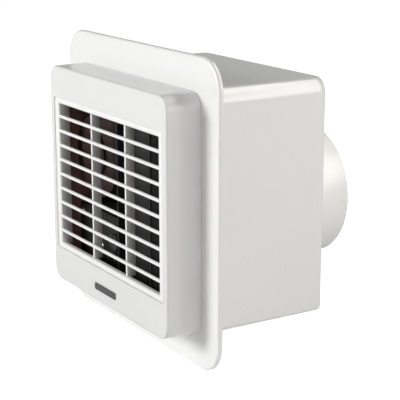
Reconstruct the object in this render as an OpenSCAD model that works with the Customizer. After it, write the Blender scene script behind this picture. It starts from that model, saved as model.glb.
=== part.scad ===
// Through-wall heat recovery unit: a square wall box with a grille cover and a round duct spigot.
// X runs to the right, Y runs into the wall and Z runs up.
// The origin is the centre of the flange's wall face.

/* [Wall box] */
// Width and height of the square box that sits in the wall
box_size = 210; // [206:1:212]
// Depth of the box behind the wall face
box_depth = 127.5; // [126:0.5:129]
// Wall thickness of the moulded box
box_wall = 2.5; // [2:0.1:2.8]
// Corner radius along the top edges of the box
box_top_r = 13.4; // [12:0.2:14]
// Corner radius along the bottom edges of the box
box_bottom_r = 4; // [3:0.5:5]
// Corner radius of the box's upright rear edges
box_rear_r = 9.5; // [8:0.5:10]
// Corner radius of the box's level rear edges
box_rear_flat_r = 3; // [2:0.5:5]

/* [Flange] */
// Width of the wall flange
flange_w = 271; // [268:1:280]
// Height of the wall flange
flange_h = 266; // [264:1:280]
// Thickness of the wall flange
flange_t = 4.5; // [4:0.5:6]
// Corner radius of the wall flange
flange_r = 27; // [24:1:34]

/* [Front cover] */
// Width of the front cover
cover_w = 218; // [217:0.5:222]
// Height of the front cover
cover_h = 208; // [207:0.5:212]
// Distance from the flange to the cover's front face
cover_depth = 33; // [32:0.5:34]
// Wall thickness of the cover
cover_wall = 2.5; // [2.2:0.1:2.6]
// Corner radius of the cover
cover_r = 13; // [11:0.5:14]

/* [Grille] */
// Number of rows of openings
rows = 10; // [8:1:10]
// Number of columns of openings
columns = 3; // [2:1:4]
// Distance from one row to the next
row_pitch = 13.76; // [13.4:0.02:13.8]
// Diameter of the grille bars
bar_d = 3.2; // [2.8:0.1:3.6]
// Width of the upright fins between columns
fin_w = 2.6; // [2.2:0.1:3.4]
// Width of the whole field of openings
field_w = 187.5; // [184:0.5:190]

/* [Fans] */
// Outer radius of each impeller
impeller_r = 27; // [25:0.5:28]
// Number of blades on each impeller
blades = 20; // [16:1:24]
// Radius of the motor shaft
shaft_r = 2; // [1.5:0.25:2.5]

/* [Heat exchanger] */
// Distance between neighbouring plates
plate_pitch = 4; // [3.5:0.5:6]
// Thickness of one plate
plate_t = 0.6; // [0.4:0.1:1]

/* [Duct spigot] */
// Outer radius of the spigot
spigot_r = 62; // [60:0.5:63]
// Wall thickness of the spigot
spigot_wall = 3; // [2.5:0.1:3.5]
// Length of the spigot behind its mounting plate
spigot_len = 53.7; // [52:0.1:55]
// Height of the spigot's centre above the box's centre
spigot_z = -19.7; // [-22:0.1:-16]

/* [Hidden] */
$fn = 48;

tiny = 0.01;
fit_gap = 0.3;
run_gap = 0.05;

box_half = box_size / 2;
inner_half = box_half - box_wall;
rear_wall = 3;
rear_inside = box_depth - rear_wall;
cavity_lead = 20;
cavity_edge_r = 1;

cover_front = -flange_t - cover_depth;
collar_h = 8;
collar_t = 2.5;
collar_gap = 0.3;
collar_half_h = 84;
lug_half_w = 7;
lug_t = 4;
lug_front = -flange_t - collar_h;

// Panel geometry: the panel hangs from a bead along its top edge
panel_w = 202;
panel_gap = 0.5;
panel_recess = 1;
panel_t = 2.5;
bead_r = 2.5;
pin_r = 1.5;
pin_len = 13;
pin_out = 4.2;
frame_depth = 11.2;
frame_level_depth = 4.6;
frame_t = 1.6;
fin_set_back = bar_d - 0.6;
field_h = rows * row_pitch - bar_d;
field_top = 68.3;
field_bottom = field_top - field_h;
panel_top = field_top + 5.2;
panel_bottom = field_bottom - 4.9;
panel_front = cover_front + panel_recess;
pivot_y = panel_front + bead_r;
pivot_z = panel_top - bead_r;
column_w = (field_w - (columns - 1) * fin_w) / columns;

// Fan geometry: both fans share one motor shaft
fan_x = -63.5;
fan_z = 24;
scroll_wall = 1.5;
scroll_depth = 28;
extract_y = -14;
supply_y = 60;
impeller_w = 22;
inlet_r = 19;
bulkhead_y = 36;
bulkhead_t = 3;
motor_y = 18;
motor_len = 38;
motor_r = 22;
outlet_low = 32;
outlet_high = 64;
outlet_end = 62.3;
divide_front = -25;

// Exchanger geometry: a square prism standing on its corner line
core_x = 58;
core_y = 52;
core_half = 40;
core_h = 180;
core_side = core_half * sqrt(2);
end_plate_t = 2;
seal_t = 2.5;
plate_count = floor((core_h - 2 * end_plate_t) / plate_pitch);
carrier_t = 2;
carrier_h = 186;

// Spigot geometry
spigot_plate = 3;
spigot_gasket_t = 1.5;
spigot_start = box_depth + spigot_gasket_t;
spigot_end = spigot_start + spigot_plate + spigot_len;
bore_r = spigot_r - spigot_wall;
spigot_bolt = 64;
spigot_edge = 9;
spigot_pilot_r = 1.5;
spigot_hole_r = 2;
flap_r = bore_r - 0.8;
flap_t = 1.5;
knuckle_r = 2.4;
flap_pin_r = 1.2;
flap_pin_x = 4;
exhaust_pin_y = 131;
intake_pin_y = 166;

// ---- Shared shapes -------------------------------------------------------------------

// Rounded rectangle centred on the origin
module rounded(w, h, r) {
    square([w - 2 * r, h], center = true);
    square([w, h - 2 * r], center = true);
    for (x = [-1, 1], z = [-1, 1])
        translate([x * (w / 2 - r), z * (h / 2 - r)]) circle(r);
}

// Square box outline seen from the front, with a larger radius at the top
module box_outline(gap) {
    half = box_half - gap;
    top_r = box_top_r - gap;
    low_r = max(box_bottom_r - gap, 0.5);
    translate([-half, -half + low_r]) square([2 * half, 2 * half - low_r - top_r]);
    translate([-half + top_r, 0]) square([2 * (half - top_r), half]);
    translate([-half + low_r, -half]) square([2 * (half - low_r), half]);
    for (x = [-1, 1]) {
        translate([x * (half - top_r), half - top_r]) circle(top_r);
        translate([x * (half - low_r), -half + low_r]) circle(low_r);
    }
}

// Extrudes a front-view outline from y0 to y1
module along_y(y0, y1) {
    translate([0, y1, 0]) rotate([90, 0, 0]) linear_extrude(y1 - y0) children();
}

// Cylinder along the Y axis from y0 to y1, centred on x and z
module rod_y(x, z, y0, y1, r) {
    translate([x, y1, z]) rotate([90, 0, 0]) cylinder(h = y1 - y0, r = r);
}

// Cylinder along the X axis from x0 to x1
module rod_x(x0, x1, y, z, r) {
    translate([x0, y, z]) rotate([0, 90, 0]) cylinder(h = x1 - x0, r = r);
}

// Plain block between two corners
module block(x0, x1, y0, y1, z0, z1) {
    translate([x0, y0, z0]) cube([x1 - x0, y1 - y0, z1 - z0]);
}

// Slab with two rounded rear edges, used to round the box's rear
module rear_round_side(half, depth, r, h) {
    linear_extrude(h, center = true) {
        translate([-half, -1]) square([2 * half, depth - r + 1]);
        translate([-half + r, -1]) square([2 * (half - r), depth + 1]);
        for (x = [-1, 1]) translate([x * (half - r), depth - r]) circle(r);
    }
}

// Box body solid with rounded edges, from the wall face to the given depth
module box_solid(gap, depth) {
    span = 3 * box_size;
    intersection() {
        along_y(0, depth) box_outline(gap);
        rear_round_side(box_half - gap, depth, box_rear_r - gap, span);
        rotate([0, 90, 0]) rear_round_side(box_half - gap, depth, box_rear_flat_r - gap, span);
    }
}

// Pan head screw along Y: the head's top is at y and the tip points to +Y
module pan_screw_y(x, z, y, len, r, head_r, head_h) {
    rod_y(x, z, y, y + head_h, head_r);
    rod_y(x, z, y + head_h - tiny, y + head_h + len, r);
}

// ---- Housing and gasket --------------------------------------------------------------

gasket_w = 252;
gasket_h = 247;
gasket_t = 1.5;
gasket_band = 10;
gasket_r = 22;
gasket_inner_r = 13;

module gasket_ring(y0, y1) {
    along_y(y0, y1) difference() {
        rounded(gasket_w, gasket_h, gasket_r);
        rounded(gasket_w - 2 * gasket_band, gasket_h - 2 * gasket_band, gasket_inner_r);
    }
}

// Positions of the four masonry screws, two in the roof and two in the floor
screw_x = 60;
screw_y = 20;
screw_hole_r = 2.75;
cover_screw_y = -flange_t - 4;
cover_screw_r = 1.7;
tab_z = 97.2;
tab_half_w = 8;

grommet_x = -80;
grommet_y = 62;
grommet_hole_r = 8;

// Lugs inside the housing's front edge
// The cover's screws bite in the low pair and its tabs rest on the high pair
module cover_lugs() {
    low = -cover_h / 2 + cover_wall + collar_gap;
    high = carrier_h / 2 + collar_gap;
    root_end = 4;
    for (x = [-screw_x, screw_x]) {
        block(x - lug_half_w, x + lug_half_w, lug_front, root_end - 1, low, low + lug_t);
        block(x - lug_half_w, x + lug_half_w, 1 - flange_t, root_end, -inner_half - 1, low + lug_t);
        block(x - lug_half_w, x + lug_half_w, lug_front, root_end - 1, high, tab_z - fit_gap / 2);
        block(x - lug_half_w, x + lug_half_w, 1 - flange_t, root_end, high, inner_half + 1);
    }
}

module wall_housing() {
    color([0.93, 0.93, 0.91]) difference() {
        union() {
            difference() {
                union() {
                    along_y(-flange_t, 0) rounded(flange_w, flange_h, flange_r);
                    box_solid(0, box_depth);
                    side_collars();
                }
                translate([0, -cavity_lead, 0]) box_cavity();
            }
            cover_lugs();
        }
        gasket_ring(-gasket_t, 1);
        rod_y(0, spigot_z, rear_inside - 1, box_depth + 1, bore_r);
        for (x = [-screw_x, screw_x], z = [-1, 1])
            translate([x, screw_y, z * (inner_half - 2)])
                rotate([z > 0 ? 0 : 180, 0, 0]) cylinder(h = 10, r = screw_hole_r);
        for (x = [-screw_x, screw_x])
            translate([x, cover_screw_y, -box_half]) cylinder(h = 9, r = cover_screw_r);
        for (x = [-spigot_bolt, spigot_bolt], z = [-spigot_bolt, spigot_bolt])
            rod_y(x, z + spigot_z, rear_inside - 1, box_depth + 1, spigot_pilot_r);
        translate([grommet_x, grommet_y, -box_half - 1]) cylinder(h = box_wall + 5, r = grommet_hole_r);
    }
}

// Upright ribs on the flange that guide the cover's two sides
module side_collars() {
    outer = cover_w / 2 - cover_wall - collar_gap;
    for (s = [0, 1])
        mirror([s, 0, 0])
            block(outer - collar_t, outer, lug_front, 1 - flange_t, -collar_half_h, collar_half_h);
}

// Inside of the box, open towards the front
module box_cavity() {
    intersection() {
        along_y(0, rear_inside + cavity_lead) box_outline(box_wall);
        translate([0, cavity_lead, 0]) rear_cavity_side(box_rear_r - rear_wall);
        translate([0, cavity_lead, 0]) rotate([0, 90, 0]) rear_cavity_side(cavity_edge_r);
    }
}

// Inside of the box seen along its rounded rear edges
module rear_cavity_side(r) {
    ahead = cavity_lead + 10;
    linear_extrude(3 * box_size, center = true) {
        translate([-inner_half, -ahead]) square([2 * inner_half, rear_inside - r + ahead]);
        translate([-inner_half + r, -ahead]) square([2 * (inner_half - r), rear_inside + ahead]);
        for (x = [-1, 1]) translate([x * (inner_half - r), rear_inside - r]) circle(r);
    }
}

module wall_gasket() {
    color([0.16, 0.16, 0.16]) gasket_ring(-gasket_t, 0);
}

// ---- Front cover and grille ----------------------------------------------------------

ear_w = 4;
ear_half_h = 5;
ear_x = panel_w / 2 + panel_gap;
ledge_t = 2;
stop_half_w = 80;

// Rounds the cover's front edges in one direction
module cover_side_profile(half, r, h) {
    linear_extrude(h, center = true) {
        translate([-half, cover_front + r]) square([2 * half, cover_depth - r]);
        translate([-half + r, cover_front]) square([2 * (half - r), cover_depth]);
        for (x = [-1, 1]) translate([x * (half - r), cover_front + r]) circle(r);
    }
}

module cover_shell() {
    edge_r = 2;
    span = 3 * cover_w;
    intersection() {
        along_y(cover_front, -flange_t) rounded(cover_w, cover_h, cover_r);
        cover_side_profile(cover_w / 2, edge_r, span);
        rotate([0, 90, 0]) cover_side_profile(cover_h / 2, edge_r, span);
    }
}

module front_cover() {
    color([0.94, 0.94, 0.94]) difference() {
        union() {
            difference() {
                cover_shell();
                along_y(cover_front + cover_wall, 1)
                    rounded(cover_w - 2 * cover_wall, cover_h - 2 * cover_wall, cover_r - cover_wall);
                along_y(cover_front - 1, cover_front + cover_wall + 1)
                    translate([-ear_x, panel_bottom - panel_gap])
                        square([2 * ear_x, panel_top - panel_bottom + 2 * panel_gap]);
            }
            for (s = [-1, 1])
                translate([s * (ear_x + ear_w / 2), 0, 0])
                    block(-ear_w / 2, ear_w / 2, cover_front + 1, pivot_y + ear_half_h,
                        pivot_z - ear_half_h, pivot_z + ear_half_h);
            stop_rib();
            side_ledges();
            for (x = [-screw_x, screw_x])
                block(x - tab_half_w, x + tab_half_w, cover_front + 6, -flange_t - 1, tab_z, cover_h / 2 - 1);
        }
        for (s = [-1, 1])
            rod_x(s * (ear_x + ear_w / 2) - ear_w, s * (ear_x + ear_w / 2) + ear_w / 2 + 0.4,
                pivot_y, pivot_z, pin_r + run_gap);
        for (x = [-screw_x, screw_x])
            translate([x, cover_screw_y, -cover_h / 2 - 1]) cylinder(h = 6, r = cover_screw_r + 0.5);
    }
}

// Plane just behind the closed panel, where the cover's ledges are
rib_y = panel_front + panel_t + fit_gap;

// Ledges behind the panel's two upright edges
module side_ledges() {
    inner_x = field_w / 2 + frame_t + 1.65;
    low = panel_bottom - 3;
    high = pivot_z - 8;
    for (s = [0, 1])
        mirror([s, 0, 0]) {
            block(inner_x, cover_w / 2 - 1, rib_y, rib_y + ledge_t, low, high);
            block(ear_x + 0.5, cover_w / 2 - 1, cover_front + 1, rib_y + ledge_t, low, high);
        }
}

// Rib on the lower header that the closed panel rests against
module stop_rib() {
    foot_y = cover_front + 1;
    block(-stop_half_w, stop_half_w, foot_y, rib_y + ledge_t, panel_bottom - 6, panel_bottom - 2);
    block(-stop_half_w, stop_half_w, rib_y, rib_y + ledge_t, panel_bottom - 3, panel_bottom + 2.6);
}

// Flat outline of the panel, below the bead that it hangs from
module panel_plate() {
    block(-panel_w / 2, panel_w / 2, panel_front, panel_front + panel_t, panel_bottom, pivot_z);
    rod_x(-panel_w / 2, panel_w / 2, pivot_y, pivot_z, bead_r);
}

module grille_panel() {
    color([0.97, 0.97, 0.96]) difference() {
        union() {
            difference() {
                union() {
                    panel_plate();
                    block(-field_w / 2 - frame_t, field_w / 2 + frame_t, panel_front + 0.5,
                        panel_front + frame_depth, field_bottom - frame_t, field_top + frame_t);
                }
                block(-field_w / 2, field_w / 2, panel_front - 1, panel_front + frame_depth + 1,
                    field_bottom, field_top);
                block(-field_w / 2, field_w / 2, panel_front + frame_level_depth,
                    panel_front + frame_depth + 1, field_bottom - frame_t - 1, field_top + frame_t + 1);
            }
            for (i = [1:columns - 1])
                translate([-field_w / 2 + i * (column_w + fin_w) - fin_w / 2, 0, 0])
                    block(-fin_w / 2, fin_w / 2, panel_front + fin_set_back, panel_front + frame_depth,
                        field_bottom - 1, field_top + 1);
            for (i = [1:rows - 1])
                rod_x(-field_w / 2 - 1, field_w / 2 + 1, panel_front + bar_d / 2,
                    field_top - i * row_pitch + bar_d / 2, bar_d / 2);
        }
        for (s = [0, 1])
            mirror([s, 0, 0])
                rod_x(panel_w / 2 - pin_len + pin_out, panel_w / 2 + 1, pivot_y, pivot_z, pin_r);
    }
}

module panel_pins() {
    color([0.7, 0.7, 0.72]) for (s = [0, 1])
        mirror([s, 0, 0])
            rod_x(panel_w / 2 - pin_len + pin_out, panel_w / 2 + pin_out, pivot_y, pivot_z, pin_r);
}

module badge_plate() {
    badge_w = 40;
    badge_h = 6.5;
    badge_t = 0.6;
    badge_r = 1.5;
    badge_x = -2.5;
    badge_z = -89;
    color([0.2, 0.2, 0.21]) along_y(cover_front - badge_t, cover_front)
        translate([badge_x, badge_z]) rounded(badge_w, badge_h, badge_r);
}

module cover_screws() {
    head_h = 1.8;
    head_r = 3.4;
    shank = 6;
    color([0.75, 0.75, 0.76]) for (x = [-screw_x, screw_x])
        translate([x, cover_screw_y, -cover_h / 2]) {
            translate([0, 0, -head_h]) cylinder(h = head_h, r = head_r);
            translate([0, 0, -tiny]) cylinder(h = shank, r = cover_screw_r);
        }
}

// ---- Partition and bulkhead ----------------------------------------------------------

partition_half = 1;
duct_z0 = fan_z + outlet_low + scroll_wall;
duct_z1 = fan_z + outlet_high - scroll_wall;
window_half = 5;

// Wall between the fan side and the exchanger side
// It is notched at the front to clear the cover and its tabs
module centre_partition() {
    half = inner_half - fit_gap;
    front_half = tab_z - 1.2;
    color([0.16, 0.15, 0.15]) difference() {
        block(-partition_half, partition_half, divide_front, rear_inside - 1.2, -half, half);
        block(-window_half, window_half, extract_y + scroll_wall, extract_y + scroll_depth, duct_z0, duct_z1);
        block(-window_half, window_half, supply_y, supply_y + scroll_depth - scroll_wall, duct_z0, duct_z1);
        for (z = [0, 1])
            mirror([0, 0, z])
                block(-window_half, window_half, divide_front - 1, 1 - flange_t, front_half, half + 1);
    }
}

bush_angles = [90, 210, 330];
bush_ring = 28;
post_screw_r = 1.6;
lead_hole_r = 4;

module fan_bulkhead() {
    beyond = bulkhead_y + bulkhead_t + 1;
    color([0.2, 0.19, 0.19]) difference() {
        union() {
            intersection() {
                along_y(bulkhead_y, bulkhead_y + bulkhead_t) box_outline(box_wall + fit_gap);
                block(-box_size, -partition_half - 0.1, 0, box_depth, -box_size, box_size);
            }
            for (x = [-90, -18], z = [-88, -40])
                rod_y(x, z, board_y + board_t, bulkhead_y + 1, 3);
        }
        rod_y(fan_x, fan_z, bulkhead_y - 1, beyond, motor_r + 1);
        for (a = bush_angles)
            rod_y(fan_x + bush_ring * cos(a), fan_z + bush_ring * sin(a), bulkhead_y - 1, beyond,
                bush_screw_r);
        for (p = post_positions)
            rod_y(fan_x + p[0], fan_z + p[1], bulkhead_y - 1, beyond, post_screw_r);
        rod_y(-40, -30, bulkhead_y - 1, beyond, lead_hole_r);
    }
}

// Brown moulded lining of the fan side's outer wall, with a lip along its front edge
module side_liner() {
    outer = -inner_half + 0.2;
    low = -99;
    high = 91;
    rear = bulkhead_y - 0.5;
    front = divide_front - 2;
    sheet = 1.1;
    lip_w = 4.6;
    lip_t = 1.5;
    rib_h = 1.9;
    color([0.3, 0.17, 0.15]) {
        block(outer, outer + sheet, front, rear, low, high);
        block(outer, outer + lip_w, front, front + lip_t, low, high);
        for (z = [-60:40:60]) block(outer, outer + rib_h, front, extract_y - 3, z - 1, z + 1);
    }
}

// ---- Fans ----------------------------------------------------------------------------

tongue_a = 70;
spiral_start = 33.5;
spiral_grow = 10.5;
elbow_r = 20;
bellmouth_len = 3;

// Radius of the spiral wall at an angle, less an inset
function spiral(a, inset) = spiral_start + spiral_grow * (a - tongue_a) / (360 - tongue_a) - inset;

// Outline of a fan scroll with its outlet elbow, inset by a wall thickness
module scroll_outline(inset, reach) {
    side = spiral(360, inset);
    duct_x = spiral(tongue_a, 0) * cos(tongue_a) + inset;
    elbow = elbow_r - inset;
    spiral_points = [for (a = [tongue_a:10:360]) [spiral(a, inset) * cos(a), spiral(a, inset) * sin(a)]];
    outlet_points = [[side, outlet_low + inset], [reach, outlet_low + inset], [reach, outlet_high - inset]];
    elbow_points = [for (a = [90:15:180])
        [duct_x + elbow + elbow * cos(a), outlet_high - inset - elbow + elbow * sin(a)]];
    polygon(concat(spiral_points, outlet_points, elbow_points));
}

post_positions = [[-29, -24], [27, -26], [34, 42]];

// Scroll shell, open at one end and with a bellmouth inlet at the other
module scroll_shell(y0, inlet_at_front) {
    y1 = y0 + scroll_depth;
    face = inlet_at_front ? y0 : y1;
    lip = inlet_at_front ? -bellmouth_len : bellmouth_len;
    cavity0 = inlet_at_front ? y0 + scroll_wall : y0 - 1;
    cavity1 = inlet_at_front ? y1 + 1 : y1 - scroll_wall;
    translate([fan_x, 0, fan_z]) difference() {
        union() {
            along_y(y0, y1) scroll_outline(0, outlet_end);
            rod_y(0, 0, min(face, face + lip), max(face, face + lip), inlet_r + 3);
        }
        along_y(cavity0, cavity1) scroll_outline(scroll_wall, outlet_end + 1);
        rod_y(0, 0, min(face, face + lip) - 3, max(face, face + lip) + 3, inlet_r);
    }
}

module extract_scroll() {
    color([0.25, 0.14, 0.12]) scroll_shell(extract_y, true);
}

module supply_scroll() {
    color([0.17, 0.16, 0.16]) scroll_shell(supply_y, false);
}

module scroll_plate(y0, post0, post1) {
    translate([fan_x, 0, fan_z]) difference() {
        union() {
            along_y(y0, y0 + scroll_wall) scroll_outline(0, outlet_end);
            for (p = post_positions) rod_y(p[0], p[1], post0, post1, 3.2);
        }
        rod_y(0, 0, y0 - 1, y0 + scroll_wall + 1, 8);
    }
}

module extract_backplate() {
    plate_y = extract_y + scroll_depth;
    color([0.25, 0.14, 0.12]) scroll_plate(plate_y, plate_y + 1, bulkhead_y);
}

module supply_backplate() {
    plate_y = supply_y - scroll_wall;
    color([0.17, 0.16, 0.16]) scroll_plate(plate_y, bulkhead_y + bulkhead_t, plate_y + 1);
}

// Forward-curved blower wheel along Y from y0 to y1, with the hub plate at the motor side
module impeller(y0, y1, plate_at_rear) {
    disc_t = 1.2;
    hub_r = 6;
    hub_len = 12;
    plate_y = plate_at_rear ? y1 - disc_t : y0;
    ring_y = plate_at_rear ? y0 : y1 - disc_t;
    blade_in = impeller_r - 7;
    translate([fan_x, 0, fan_z]) difference() {
        union() {
            rod_y(0, 0, plate_y, plate_y + disc_t, impeller_r);
            rod_y(0, 0, plate_at_rear ? y1 - hub_len : y0, plate_at_rear ? y1 : y0 + hub_len, hub_r);
            along_y(ring_y, ring_y + disc_t) difference() {
                circle(impeller_r);
                circle(blade_in + 1.5);
            }
            for (i = [0:blades - 1])
                rotate([0, -i * 360 / blades, 0]) along_y(y0, y1) blade_outline(blade_in);
        }
        rod_y(0, 0, y0 - 1, y1 + 1, shaft_r);
    }
}

// One curved blade from its inner radius to just inside the rim
module blade_outline(blade_in) {
    steps = 4;
    curve = 14;
    half_t = 0.4;
    function at(i, side) = let (t = i / steps, r = blade_in + t * (impeller_r - blade_in - 0.1),
        a = curve * t * t) [r * cos(a) - side * sin(a), r * sin(a) + side * cos(a)];
    polygon(concat([for (i = [0:steps]) at(i, -half_t)], [for (i = [steps:-1:0]) at(i, half_t)]));
}

module extract_impeller() {
    color([0.1, 0.1, 0.11]) impeller(extract_y + 3, extract_y + 3 + impeller_w, true);
}

module supply_impeller() {
    color([0.1, 0.1, 0.11]) impeller(supply_y + 3, supply_y + 3 + impeller_w, false);
}

// Foam disc held in the extract fan's inlet
module inlet_filter() {
    color([0.23, 0.13, 0.11]) rod_y(fan_x, fan_z, extract_y - 3, extract_y - 0.2, inlet_r - 0.2);
}

// ---- Motor ---------------------------------------------------------------------------

bearing_r = 6;
bearing_w = 5;
can_wall = 1.6;
bracket_y = 31;
bracket_t = 2;
bush_screw_r = 1.5;
bush_hole_r = 1.7;
stator_bore_r = 11.5;
rotor_r = 11;

module motor_can() {
    color([0.66, 0.67, 0.68]) translate([fan_x, 0, fan_z]) difference() {
        rod_y(0, 0, motor_y, motor_y + motor_len, motor_r);
        rod_y(0, 0, motor_y + can_wall + bearing_w, motor_y + motor_len - can_wall - bearing_w,
            motor_r - can_wall);
        rod_y(0, 0, motor_y + can_wall, motor_y + motor_len - can_wall, bearing_r);
        rod_y(0, 0, motor_y - 1, motor_y + motor_len + 1, shaft_r + 1);
    }
}

module motor_stator() {
    color([0.55, 0.32, 0.18]) translate([fan_x, 0, fan_z]) difference() {
        union() {
            rod_y(0, 0, motor_y + 11, motor_y + motor_len - 11, motor_r - can_wall);
            rod_y(0, 0, motor_y + 7.5, motor_y + motor_len - 7.5, motor_r - can_wall - 2);
        }
        rod_y(0, 0, motor_y, motor_y + motor_len, stator_bore_r);
    }
}

module motor_rotor() {
    color([0.5, 0.5, 0.52]) translate([fan_x, 0, fan_z]) difference() {
        rod_y(0, 0, motor_y + 10, motor_y + motor_len - 10, rotor_r);
        rod_y(0, 0, motor_y, motor_y + motor_len, shaft_r);
    }
}

module motor_shaft() {
    color([0.75, 0.75, 0.77]) rod_y(fan_x, fan_z, extract_y + 5, supply_y + 3 + impeller_w - 2, shaft_r);
}

module motor_bearings() {
    color([0.7, 0.6, 0.4]) translate([fan_x, 0, fan_z])
        for (y = [motor_y + can_wall, motor_y + motor_len - can_wall - bearing_w])
            difference() {
                rod_y(0, 0, y, y + bearing_w, bearing_r);
                rod_y(0, 0, y - 1, y + bearing_w + 1, shaft_r + run_gap);
            }
}

module motor_bracket() {
    color([0.72, 0.73, 0.74]) translate([fan_x, 0, fan_z]) difference() {
        union() {
            rod_y(0, 0, bracket_y, bracket_y + bracket_t, motor_r + 3);
            for (a = bush_angles)
                rod_y(bush_ring * cos(a), bush_ring * sin(a), bracket_y, bracket_y + bracket_t, 5);
        }
        rod_y(0, 0, bracket_y - 1, bracket_y + bracket_t + 1, motor_r);
        for (a = bush_angles)
            rod_y(bush_ring * cos(a), bush_ring * sin(a), bracket_y - 1, bracket_y + 3, bush_hole_r);
    }
}

module motor_bushes() {
    color([0.08, 0.08, 0.08]) translate([fan_x, 0, fan_z]) for (a = bush_angles)
        translate([bush_ring * cos(a), 0, bush_ring * sin(a)]) difference() {
            rod_y(0, 0, bracket_y + bracket_t, bulkhead_y, 4.5);
            rod_y(0, 0, bracket_y, bulkhead_y + 1, bush_hole_r);
        }
}

module motor_screws() {
    head_r = 3;
    head_h = 2;
    shank = 8;
    color([0.75, 0.75, 0.76]) for (a = bush_angles)
        pan_screw_y(fan_x + bush_ring * cos(a), fan_z + bush_ring * sin(a), bracket_y - head_h,
            shank, bush_screw_r, head_r, head_h);
}

// ---- Heat exchanger ------------------------------------------------------------------

module core_prism(side, h) {
    translate([core_x, core_y, 0]) rotate([0, 0, 45]) cube([side, side, h], center = true);
}

module exchanger_core() {
    stack_h = core_h - 2 * end_plate_t;
    post = 3;
    color([0.72, 0.75, 0.78]) {
        for (i = [0:plate_count])
            translate([0, 0, (i / plate_count - 0.5) * stack_h]) core_prism(core_side, plate_t);
        for (z = [-1, 1])
            translate([0, 0, z * (core_h - end_plate_t) / 2]) core_prism(core_side, end_plate_t);
        for (a = [0, 90, 180, 270])
            translate([core_x, core_y, 0]) rotate([0, 0, a]) translate([core_half - post, 0, 0])
                rotate([0, 0, 45]) cube([post, post, core_h], center = true);
    }
}

module exchanger_carrier() {
    low = -carrier_h / 2;
    high = carrier_h / 2;
    left = partition_half + fit_gap;
    right = inner_half - 1.5;
    rear = core_y + core_half + seal_t;
    web_front = core_y - core_half - seal_t;
    web_x0 = core_x - carrier_t / 2;
    web_x1 = core_x + carrier_t / 2;
    color([0.13, 0.13, 0.14]) {
        for (z = [low, high - carrier_t])
            block(left, right, extract_y, rear + carrier_t, z, z + carrier_t);
        block(left, core_x, extract_y, extract_y + carrier_t, low, high);
        block(web_x0, web_x1, divide_front, web_front, 3 - high, high - 3);
        block(web_x0, web_x1, extract_y, web_front, low, high);
        block(left, core_x - core_half - seal_t, core_y - 1, core_y + 1, low, high);
        block(left, core_x, rear, rear + carrier_t, low, high);
        block(core_x + core_half + seal_t - 0.3, right, core_y - 1, core_y + 1, low, high);
    }
}

module core_seals() {
    half_h = carrier_h / 2 - carrier_t;
    half_w = 2;
    edge = core_half;
    color([0.07, 0.07, 0.07]) {
        block(core_x - half_w, core_x + half_w, core_y - edge - seal_t, core_y - edge, -half_h, half_h);
        block(core_x - half_w, core_x + half_w, core_y + edge, core_y + edge + seal_t, -half_h, half_h);
        block(core_x - edge - seal_t, core_x - edge, core_y - half_w, core_y + half_w, -half_h, half_h);
        block(core_x + edge, core_x + edge + seal_t - fit_gap, core_y - half_w, core_y + half_w,
            -half_h, half_h);
    }
}

module drip_tray() {
    low = -inner_half + 0.1;
    x0 = 3;
    x1 = 96;
    y0 = 4.5;
    y1 = 114;
    wall = 1.5;
    rim_h = 8;
    color([0.2, 0.2, 0.21]) difference() {
        block(x0, x1, y0, y1, low, low + rim_h);
        block(x0 + wall, x1 - wall, y0 + wall, y1 - wall, low + wall, low + rim_h + 1);
        translate([screw_x, screw_y, low - 1]) cylinder(h = wall + 2, r = 6);
    }
}

// Flat foam pad behind the right-hand side of the grille
module supply_filter() {
    front = divide_front + 1;
    thick = 6;
    half_h = 76;
    color([0.05, 0.05, 0.05]) block(core_x + 1.3, 101, front, front + thick, -half_h, half_h);
}

// ---- Controls ------------------------------------------------------------------------

board_y = 8;
board_t = 1.6;
board_x0 = -96;
board_x1 = -12;
board_z0 = -94;
board_z1 = -34;
dial_x = -24;
dial_z = -52;
dial_r = 8;
dial_shaft_r = 2;
terminal_x = -52;
terminal_z = -77;
terminal_pitch = 12;
terminal_r = 2.4;
lid_front = -13;
lid_t = 1.5;
lid_x0 = -100;
lid_x1 = -6;
lid_z0 = -97;
lid_z1 = -30;
lid_screw_r = 1.3;
lid_screws = [[-54, -63], [-93, -37], [-15, -37]];

module control_board() {
    color([0.08, 0.3, 0.16]) block(board_x0, board_x1, board_y, board_y + board_t, board_z0, board_z1);
}

module relay() {
    relay_h = 15;
    color([0.12, 0.16, 0.35]) block(-94, -80, board_y - relay_h, board_y, -90, -70);
}

module run_capacitor() {
    can_r = 8.9;
    color([0.85, 0.86, 0.84]) rod_x(-88, -60, board_y - can_r - 0.1, -50, can_r);
}

// Upright screw positions of the terminal strip
terminal_xs = [for (i = [-1.5:1:1.5]) terminal_x + i * terminal_pitch];

module terminal_block() {
    half = 2 * terminal_pitch;
    half_h = 7;
    wire_r = 1.6;
    color([0.1, 0.1, 0.1]) difference() {
        block(terminal_x - half, terminal_x + half, board_y - 14, board_y,
            terminal_z - half_h, terminal_z + half_h);
        for (x = terminal_xs) {
            rod_y(x, terminal_z + 2, board_y - 15, board_y - 5, terminal_r);
            translate([x, board_y - 6, terminal_z - half_h - 1]) cylinder(h = 6, r = wire_r);
        }
    }
}

module terminal_screws() {
    color([0.8, 0.8, 0.82]) for (x = terminal_xs)
        difference() {
            rod_y(x, terminal_z + 2, board_y - 13.5, board_y - 5, terminal_r);
            translate([x, board_y - 13.5, terminal_z + 2]) cube([4, 1.4, 0.7], center = true);
        }
}

module humidity_sensor() {
    color([0.9, 0.9, 0.88]) difference() {
        block(-24, -14, board_y - 6, board_y, -90, -76);
        for (z = [-87:3:-79]) block(-22, -16, board_y - 7, board_y - 5, z, z + 1.4);
    }
}

module dial_base() {
    half = 6;
    color([0.15, 0.25, 0.5]) difference() {
        block(dial_x - half, dial_x + half, board_y - 5, board_y, dial_z - half, dial_z + half);
        rod_y(dial_x, dial_z, board_y - 6, board_y - 1, dial_shaft_r + run_gap);
    }
}

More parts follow.
